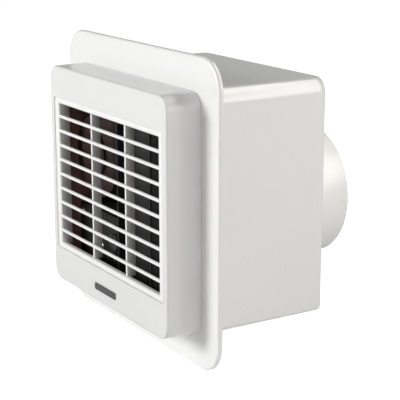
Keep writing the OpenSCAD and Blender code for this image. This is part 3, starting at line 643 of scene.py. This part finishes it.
def build_housing():
    """Housing shell with the ribs and lugs that the cover sits on, and its screw and cable holes."""
    obj = loft_y("wall_housing_shell", housing_rings())
    lug_front, lug_end, lug_half_w = -12.5, 3.0, 7
    lug_edge = 0.5
    rib_inner, rib_outer, rib_half_h, rib_end = 103.7, 106.2, 84, -4.0
    # heights of the lower and the upper lugs, and of the roots that tie them to the box
    lug_spans = ((-101.2, -97.2, -103.5, -97.2), (93.3, 97.05, 93.3, 103.5))
    extras = []
    for s in (-1, 1):
        rib = sorted((s * rib_inner, s * rib_outer))
        extras.append(rounded_block("rib", (rib[0], lug_front, -rib_half_h),
                                    (rib[1], rib_end, rib_half_h), lug_edge))
        x0, x1 = s * screw_x - lug_half_w, s * screw_x + lug_half_w
        for low, high, root_low, root_high in lug_spans:
            extras.append(rounded_block("lug", (x0, lug_front, low), (x1, lug_end, high), lug_edge))
            extras.append(rounded_block("root", (x0, -3.5, root_low), (x1, lug_end + 1, root_high), lug_edge))
    boolean(obj, extras, "UNION")
    cutters = []
    for s in (-1, 1):
        x = s * screw_x
        cutters.append(hole(masonry_hole_r, -120, 120, (x, masonry_screw_y, 0), "Z", 32))
        cutters.append(hole(cover_pilot_r, -110, -90, (x, cover_screw_y, 0), "Z"))
        for z in (-spigot_bolt, spigot_bolt):
            cutters.append(hole(spigot_pilot_r, 100, 140, (s * spigot_bolt, 0, z + duct_z), "Y"))
    cutters.append(hole(cable_hole_r, -112, -98, (cable_x, cable_y, 0), "Z", 48))
    boolean(obj, cutters, "DIFFERENCE")
    smooth(obj)
    return place(obj, "housing", MATERIALS["housing_white"], ["wall_housing"])


# ---------------------------------------------------------------- front cover

def cover_ring(inset, draft=0.0):
    w, h = cover_half_w - inset - draft * 0.5, cover_half_h - inset - draft
    r = cover_r - inset
    return rounded_outline(-w, w, -h, h, r, r)


def aperture_ring(grow):
    w, r = panel_half_w + aperture_gap + grow, 1.2
    return rounded_outline(-w, w, panel_low.z - aperture_gap - grow, panel_high.z + aperture_gap + grow, r, r)


def cover_rings():
    """Rings of the cover's skin: outer side, front edge, front face, window edge, inside."""
    edge = 2.0
    lip = 0.6
    draft = 0.6
    back = 0.5
    rings = [(cover_ring(cover_wall), cover_rear), (cover_ring(back), cover_rear)]
    for s, c in quarter(3):
        rings.append((cover_ring(back * (1 - s)), cover_rear - back * c))
    for t in (0.25, 0.5, 0.75):
        rings.append((cover_ring(0, draft * t), cover_rear + (cover_front - cover_rear) * t))
    for s, c in quarter(7):
        rings.append((cover_ring(edge * c, draft), cover_front + edge * (1 - s)))
    rings.append((cover_ring(edge + 2, draft), cover_front))
    rings.append((aperture_ring(lip + 1.2), cover_front))
    for s, c in quarter(4):
        rings.append((aperture_ring(lip * (1 - s)), cover_front + lip * c))
    rings.append((aperture_ring(0), cover_front + cover_wall))
    rings.append((cover_ring(cover_wall + 1.5, draft), cover_front + cover_wall))
    rings.append((cover_ring(cover_wall, draft), cover_front + cover_wall + 1.5))
    return rings


def build_cover():
    """Cover shell with its hinge ears, hook tabs and screw holes, and the ledges and rib behind the panel."""
    obj = loft_y("front_cover_shell", cover_rings())
    root_y = cover_front + 1
    ear_reach, ear_t = 5, 4
    pin_hole_r, pin_hole_start, pin_hole_end = 1.55, 100.9, 105.9
    tab_half_w, tab_low, tab_high = 8, 97.3, 102.5
    clearance_r = 2.2
    opening = panel_half_w + aperture_gap
    extras = []
    cutters = []
    for s in (-1, 1):
        ear = sorted((s * opening, s * (opening + ear_t)))
        x = s * screw_x
        extras.append(rounded_block("ear", (ear[0], root_y, hinge_z - ear_reach),
                                    (ear[1], hinge_y + ear_reach, hinge_z + ear_reach), 0.5))
        extras.append(rounded_block("tab", (x - tab_half_w, cover_front + 6, tab_low),
                                    (x + tab_half_w, cover_rear - 1, tab_high), 0.4))
        cutters.append(hole(pin_hole_r, s * pin_hole_start, s * pin_hole_end, (0, hinge_y, hinge_z), "X"))
        cutters.append(hole(clearance_r, -108, -98, (x, cover_screw_y, 0), "Z"))
    stop_y, stop_t = panel_front + 2.8, 2
    stop_rear = stop_y + stop_t
    ledge_inner, ledge_outer = field_half_w + frame_t + 1.65, cover_half_w - 1
    ledge_low, ledge_high = panel_low.z - 3, hinge_z - 8
    for s in (-1, 1):
        ledge = sorted((s * ledge_inner, s * ledge_outer))
        foot = sorted((s * (opening + 0.5), s * ledge_outer))
        extras.append(rounded_block("ledge", (ledge[0], stop_y, ledge_low),
                                    (ledge[1], stop_rear, ledge_high), 0.4))
        extras.append(rounded_block("foot", (foot[0], root_y, ledge_low),
                                    (foot[1], stop_rear, ledge_high), 0.3))
    rib_half_w = 80
    extras.append(rounded_block("rib_foot", (-rib_half_w, root_y, panel_low.z - 6),
                                (rib_half_w, stop_rear, panel_low.z - 2), 0.4))
    extras.append(rounded_block("rib", (-rib_half_w, stop_y, panel_low.z - 3),
                                (rib_half_w, stop_rear, panel_low.z + 2.6), 0.4))
    boolean(obj, extras, "UNION")
    boolean(obj, cutters, "DIFFERENCE")
    smooth(obj)
    return place(obj, "housing", MATERIALS["cover_white"], ["front_cover"])


# ---------------------------------------------------------------- grille panel

def window_ring(grow):
    w = field_half_w + grow
    return rounded_outline(-w, w, field_low - grow, field_top + grow, 0.6, 0.6)


def panel_rings():
    """Rings of the panel's skin: outer edge, front face, window edge, window wall, back."""
    edge = 0.6
    lip = 2.0
    back_edge = 0.3
    plate_back, frame_back = panel_front + panel_t, panel_front + frame_depth

    def outer(inset):
        w = panel_half_w - inset
        return rounded_outline(-w, w, panel_low.z + inset, hinge_z, 0.4, 1.4)

    rings = [(outer(back_edge), plate_back), (outer(0), plate_back - back_edge)]
    for s, c in quarter(4):
        rings.append((outer(edge * c), panel_front + edge * (1 - s)))
    rings.append((window_ring(lip + 0.3), panel_front))
    for s, c in quarter(6):
        rings.append((window_ring(lip * (1 - s)), panel_front + lip * c))
    rings.append((window_ring(0), frame_back - back_edge))
    rings.append((window_ring(back_edge), frame_back))
    rings.append((window_ring(frame_t - back_edge), frame_back))
    rings.append((window_ring(frame_t), frame_back - back_edge))
    rings.append((window_ring(frame_t), plate_back))
    return rings


def build_panel():
    """Panel with a hinge bead along its top, upright fins, round bars across and bores for the pins."""
    obj = loft_y("grille_panel_shell", panel_rings())
    hinge = (0, hinge_y, hinge_z)

    # the frame's level walls are shallower than its upright ones
    cut_x = field_half_w + 0.05
    shallow = rounded_block("cut", (-cut_x, panel_front + frame_level_depth, field_low - frame_t - 1),
                            (cut_x, panel_front + frame_depth + 1, field_top + frame_t + 1), 0)
    boolean(obj, [shallow], "DIFFERENCE")

    bevel = 0.4
    bead = [(hinge_bead_r - bevel, -panel_half_w), (hinge_bead_r, -panel_half_w + bevel),
            (hinge_bead_r, panel_half_w - bevel), (hinge_bead_r - bevel, panel_half_w)]
    extras = [turned("bead", bead, hinge, "X", 40)]
    column_w = (2 * field_half_w - (columns - 1) * fin_w) / columns
    for i in range(1, columns):
        x = -field_half_w + i * (column_w + fin_w) - fin_w
        extras.append(rounded_block("fin", (x, panel_front + fin_set_back, field_low - 1),
                                    (x + fin_w, panel_front + frame_depth, field_top + 1), 0.5))
    boolean(obj, extras, "UNION")

    bar_r, bar_end = bar_d / 2, field_half_w + 1
    bars = []
    for i in range(1, rows):
        axis_point = (0, panel_front + bar_r, field_top - i * row_pitch + bar_r)
        bars.append(turned("bar", [(bar_r, -bar_end), (bar_r, bar_end)], axis_point, "X", 20))
    boolean(obj, bars, "UNION")

    pin_r, pin_depth = 1.5, 8.8
    bores = [hole(pin_r, s * (panel_half_w - pin_depth), s * (panel_half_w + 1), hinge, "X") for s in (-1, 1)]
    boolean(obj, bores, "DIFFERENCE")
    smooth(obj)
    return place(obj, "panel", MATERIALS["grille_white"], ["grille_panel"])


# ---------------------------------------------------------------- duct spigot

def spigot_corners(y):
    """The four screw positions of the spigot's plate, at a depth y."""
    return [(i * spigot_bolt, y, j * spigot_bolt + duct_z) for i in (-1, 1) for j in (-1, 1)]


def build_spigot():
    """Mounting plate that runs into the round tube through a small fillet, with a rounded mouth."""
    y0, end = spigot_low.y, spigot_high.y
    half = spigot_high.x
    plate_r = 9
    plate_back = y0 + spigot_plate
    fillet = 2.5
    mouth = 1.5
    edge = 0.6
    hole_r = 2

    def plate_ring(inset):
        w, r = half - inset, plate_r - inset
        return rounded_outline(-w, w, duct_z - w, duct_z + w, r, r)

    def tube_ring(r):
        return even_circle(plate_ring(0), duct_z, r)

    rings = [(tube_ring(duct_r), y0), (plate_ring(edge), y0)]
    for s, c in quarter(3):
        rings.append((plate_ring(edge * (1 - s)), y0 + edge * c))
    for s, c in quarter(3):
        rings.append((plate_ring(edge * c), plate_back - edge * (1 - s)))
    rings.append((tube_ring(spigot_r + fillet), plate_back))
    for s, c in quarter(5)[1:]:
        rings.append((tube_ring(spigot_r + fillet * (1 - s)), plate_back + fillet * c))
    for t in (0.35, 0.7):
        rings.append((tube_ring(spigot_r), plate_back + (end - plate_back) * t))
    for i in range(9):
        a = math.pi * i / 8
        rings.append((tube_ring(spigot_r - mouth + mouth * math.cos(a)), end - mouth + mouth * math.sin(a)))
    rings.append((tube_ring(duct_r), end - 20))
    obj = loft_y("duct_spigot_shell", rings)
    cutters = [hole(hole_r, y0 - 3, plate_back + 3, corner, "Y") for corner in spigot_corners(0)]
    boolean(obj, cutters, "DIFFERENCE")
    smooth(obj)
    return place(obj, "housing", MATERIALS["spigot_white_painted_light"], ["duct_spigot"])


# ---------------------------------------------------------------- screws

def screw_profile(head_r, head_h, shank_r, length):
    """Half section of a pan head screw: domed head, flat underside at 0, then a threaded shank."""
    dome_steps = 6
    pitch, tip, plain_end = 1.2, 1.4, 2.5
    root_r = shank_r * 0.86
    profile = [(0.0, -head_h)]
    for i in range(1, dome_steps + 1):
        a = math.pi / 2 * i / dome_steps
        profile.append((head_r * math.sin(a), -head_h * (0.45 + 0.55 * math.cos(a))))
    profile += [(head_r, -head_h * 0.1), (head_r * 0.97, 0.0), (shank_r, 0.0)]
    for i in range(int(length / pitch)):
        y = pitch / 2 + i * pitch
        if y < length - plain_end:
            profile += [(root_r, y), (shank_r, y + pitch / 4), (root_r, y + pitch / 2)]
    return profile + [(root_r, length - tip), (0.0, length)]


def build_screw_group(name, node, places, direction, head_r, head_h, shank_r, length):
    """Screws with a cross recess. Each place is the point under a head; the shank goes along direction."""
    every = bmesh.new()
    profile = screw_profile(head_r, head_h, shank_r, length)
    turn_to = Vector((0, 1, 0)).rotation_difference(Vector(direction)).to_matrix().to_4x4()
    slot_half_w = 0.35
    for index, point in enumerate(places):
        obj = turned("screw", profile, (0, 0, 0), "Y", 28)
        slots = []
        for turn in (0, 90):
            slot = rounded_block("slot", (-head_r * 0.6, -head_h * 1.3, -slot_half_w),
                                 (head_r * 0.6, -head_h * 0.45, slot_half_w), 0)
            # no two screws in a group stop at the same angle
            slot.data.transform(Matrix.Rotation(math.radians(turn + 20 + 37 * index), 4, "Y"))
            slots.append(slot)
        boolean(obj, slots, "DIFFERENCE")
        obj.data.transform(Matrix.Translation(mm(*point)) @ turn_to)
        every.from_mesh(obj.data)
        bpy.data.objects.remove(obj)
    obj = object_from(every, name)
    smooth(obj, 30, weighted=False)
    return place(obj, "housing", MATERIALS["screw_zinc"], [node])


def build_screws():
    build_screw_group("cover_screw_set", "cover_screws",
                      [(s * screw_x, cover_screw_y, -104) for s in (-1, 1)], (0, 0, 1), 3.4, 1.8, 1.7, 6)

    rear = spigot_low.y + spigot_plate
    build_screw_group("spigot_screw_set", "spigot_screws", spigot_corners(rear), (0, -1, 0),
                      3.6, 2.4, spigot_pilot_r, 7)

    lid_y = -13
    build_screw_group("lid_screw_set", "cover_lid_screws",
                      [(-54, lid_y, -63), (-93, lid_y, -37), (-15, lid_y, -37)], (0, 1, 0), 3, 1.8, 1.3, 10)

    fan_x, fan_z, ring_r = -63.5, 24, 28
    angles = [math.radians(a) for a in (90, 210, 330)]
    build_screw_group("motor_screw_set", "motor_screws",
                      [(fan_x + ring_r * math.cos(a), 31, fan_z + ring_r * math.sin(a)) for a in angles],
                      (0, 1, 0), 3, 2, 1.5, 8)


# ---------------------------------------------------------------- foam filter

def foam_pad(name, low, high):
    """Block of foam with softly uneven front and back faces and rounded edges."""
    bm = bmesh.new()
    low, high = Vector(low), Vector(high)
    size = high - low
    centre = (low + high) / 2
    cell, edge, sag = 3.0, 1.5, 0.35
    counts = [max(2, int(round(size[i] / cell))) for i in range(3)]
    made = {}

    def vertex(key):
        if key not in made:
            p = Vector([low[n] + size[n] * key[n] / counts[n] for n in range(3)])
            inner = Vector([max(low[n] + edge, min(high[n] - edge, p[n])) for n in range(3)])
            away = p - inner
            if away.length > edge:
                p = inner + away.normalized() * edge
            wave = math.sin(p.x * 0.31 + p.z * 0.17) * math.cos(p.z * 0.23 - p.x * 0.11)
            outward = 1 if p.y > centre.y else -1
            p.y += (wave - 1) * sag / 2 * outward
            made[key] = bm.verts.new(p * MM)
        return made[key]

    for axis in range(3):
        u, v = [n for n in range(3) if n != axis]
        for side in (0, counts[axis]):
            for a in range(counts[u]):
                for b in range(counts[v]):
                    corners = []
                    for du, dv in ((0, 0), (1, 0), (1, 1), (0, 1)):
                        key = [0, 0, 0]
                        key[axis], key[u], key[v] = side, a + du, b + dv
                        corners.append(vertex(tuple(key)))
                    bm.faces.new(corners)
    obj = object_from(bm, name)
    smooth(obj, 60, weighted=False)
    return obj


def build_filter():
    pad = foam_pad("supply_filter_pad", *size_of("supply_filter"))
    place(pad, "housing", MATERIALS["foam_black"], ["supply_filter"])


# ---------------------------------------------------------------- CAD nodes that keep their shape

# node: material, and the width in mm its edges are rounded to
CAD_FINISH = {
    "wall_gasket": ("foam_black", 0.3),
    "spigot_gasket": ("foam_black", 0.3),
    "core_seals": ("foam_black", 0.4),
    "panel_pins": ("pin_steel", 0.3),
    "flap_pins": ("pin_steel", 0.3),
    "motor_shaft": ("pin_steel", 0.3),
    "badge_plate": ("badge_grey", 0.25),
    "centre_partition": ("chassis_black", 0.3),
    "fan_bulkhead": ("chassis_black", 0.3),
    "side_liner": ("liner_brown", 0.3),
    "exchanger_carrier": ("chassis_black", 0.3),
    "drip_tray": ("chassis_black", 0.3),
    "extract_scroll": ("scroll_brown", 0.35),
    "extract_backplate": ("scroll_brown", 0.3),
    "supply_scroll": ("scroll_black", 0.35),
    "supply_backplate": ("scroll_black", 0.3),
    "inlet_filter": ("foam_brown", 0.5),
    "extract_impeller": ("impeller_black", 0.1),
    "supply_impeller": ("impeller_black", 0.1),
    "motor_can": ("motor_steel", 0.5),
    "motor_bracket": ("motor_steel", 0.3),
    "motor_rotor": ("motor_steel", 0.3),
    "motor_bearings": ("motor_steel", 0.3),
    "motor_stator": ("winding_copper", 0.8),
    "motor_bushes": ("rubber_black", 0.4),
    "cable_grommet": ("rubber_black", 0.6),
    "motor_leads": ("rubber_black", 0.0),
    "exchanger_core": ("exchanger_foil", 0.08),
    "control_board": ("board_green", 0.2),
    "relay": ("relay_blue", 0.6),
    "dial_base": ("relay_blue", 0.3),
    "run_capacitor": ("capacitor_can", 1.0),
    "terminal_block": ("chassis_black", 0.4),
    "terminal_screws": ("screw_zinc", 0.2),
    "electronics_cover": ("chassis_black", 0.7),
    "humidity_sensor": ("control_white", 0.3),
    "humidity_dial": ("dial_grey", 0.3),
    "cable_clamp": ("control_white", 0.6),
    "duct_divider": ("flap_grey", 0.4),
    "intake_flap": ("flap_grey", 0.3),
    "exhaust_flap": ("flap_grey", 0.3),
}


def finish_cad_nodes():
    for node, (material, width) in CAD_FINISH.items():
        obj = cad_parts[node]
        if width > 0:
            soften_cad(obj, width)
        paint(obj, MATERIALS[material])


# ---------------------------------------------------------------- stage, lights and camera

def floor_paint():
    """Pale matt floor that looks white to the camera but lights the unit no more than paint does."""
    m = Recipe("floor_paint")
    m.set(m.shader, "Base Color", m.blend(m.noise(3, 2), rgba(0.86, 0.86, 0.86), rgba(0.88, 0.88, 0.88)))
    m.set(m.shader, "Roughness", 0.95)
    m.set(m.shader, "Specular IOR Level", 0.0)
    seen = m.tree.nodes.new("ShaderNodeLightPath").outputs["Is Camera Ray"]
    m.set(m.shader, "Emission Color", rgba(1, 1, 1))
    m.set(m.shader, "Emission Strength", m.maths("MULTIPLY", seen, FLOOR_LIFT))
    return m.material


def build_stage():
    """Large floor just under the unit."""
    floor_z = cad_bounds[0].z - 0.0005
    reach = 30.0
    mesh = bpy.data.meshes.new("floor")
    corners = [(x * reach, y * reach, floor_z) for x, y in ((-1, -1), (1, -1), (1, 1), (-1, 1))]
    mesh.from_pydata(corners, [], [(0, 1, 2, 3)])
    floor = new_object("floor", mesh)
    paint(floor, floor_paint())


def soft_light(name, place_at, aim, width, height, power, colour=(1, 1, 1)):
    """Rectangular lamp at a place, turned towards a point."""
    data = bpy.data.lights.new(name, "AREA")
    data.shape = "RECTANGLE"
    data.size, data.size_y = width, height
    data.energy = power
    data.color = colour
    light = bpy.data.objects.new(name, data)
    scene.collection.objects.link(light)
    light.location = place_at
    light.rotation_mode = "QUATERNION"
    light.rotation_quaternion = (Vector(aim) - Vector(place_at)).to_track_quat("-Z", "Y")
    return light


def strip_light(name, start, end, width, aim, power):
    """Long soft light between two points."""
    start, end, aim = Vector(start), Vector(end), Vector(aim)
    middle = (start + end) / 2
    light = soft_light(name, middle, aim, (end - start).length, width, power, WARM)
    back = (middle - aim).normalized()
    along = end - start
    along = (along - back * along.dot(back)).normalized()
    light.rotation_quaternion = Matrix((along, back.cross(along), back)).transposed().to_quaternion()
    return light


def build_lights():
    """Surroundings that are white to the camera and dim overhead, a key, a side light and an arch behind."""
    world = bpy.data.worlds.new("studio")
    world.use_nodes = True
    tree = world.node_tree
    background = tree.nodes["Background"]
    direction = tree.nodes.new("ShaderNodeTexCoord").outputs["Generated"]
    split = tree.nodes.new("ShaderNodeSeparateXYZ")
    tree.links.new(direction, split.inputs[0])
    height = tree.nodes.new("ShaderNodeMapRange")
    tree.links.new(split.outputs["Z"], height.inputs[0])
    for index, value in enumerate((0.0, 0.8, SKY_LOW, SKY_HIGH), 1):
        height.inputs[index].default_value = value
    seen = tree.nodes.new("ShaderNodeMath")
    seen.operation = "MAXIMUM"
    tree.links.new(height.outputs[0], seen.inputs[0])
    tree.links.new(tree.nodes.new("ShaderNodeLightPath").outputs["Is Camera Ray"], seen.inputs[1])
    tree.links.new(seen.outputs[0], background.inputs["Strength"])
    background.inputs["Color"].default_value = (1, 1, 1, 1)
    scene.world = world

    middle = (cad_bounds[0] + cad_bounds[1]) / 2
    arch_w = 0.4
    soft_light("front_key", (-0.8, -2.3, 0.8), middle, 0.9, 0.9, KEY_POWER)
    soft_light("side_light", (2.05, -0.45, 0.95), middle, 1.1, 1.3, SIDE_POWER, WARM)
    strip_light("arch_side", (2.0, 1.05, 0.05), (0.55, 1.35, 2.1), arch_w, middle, STRIP_POWER)
    strip_light("arch_roof", (0.5, 1.35, 2.1), (-0.7, 1.35, 2.0), arch_w, middle, ROOF_POWER)


def build_camera():
    """Long lens from the right of the front and a little above, as the unit is pictured."""
    azimuth, elevation = math.radians(58.59), math.radians(14.21)
    data = bpy.data.cameras.new("camera")
    data.sensor_width = 36.0
    data.lens = 113.2
    camera = bpy.data.objects.new("camera", data)
    scene.collection.objects.link(camera)
    back = Vector((math.sin(azimuth) * math.cos(elevation), -math.cos(azimuth) * math.cos(elevation),
                   math.sin(elevation)))
    camera.location = (0.9620, -0.5267, 0.2684)
    camera.rotation_mode = "QUATERNION"
    camera.rotation_quaternion = (-back).to_track_quat("-Z", "Y")
    scene.camera = camera


build_housing()
build_cover()
build_panel()
build_spigot()
build_screws()
build_filter()
finish_cad_nodes()
build_stage()
build_lights()
build_camera()
scene.view_settings.view_transform = "Standard"
scene.view_settings.look = "None"
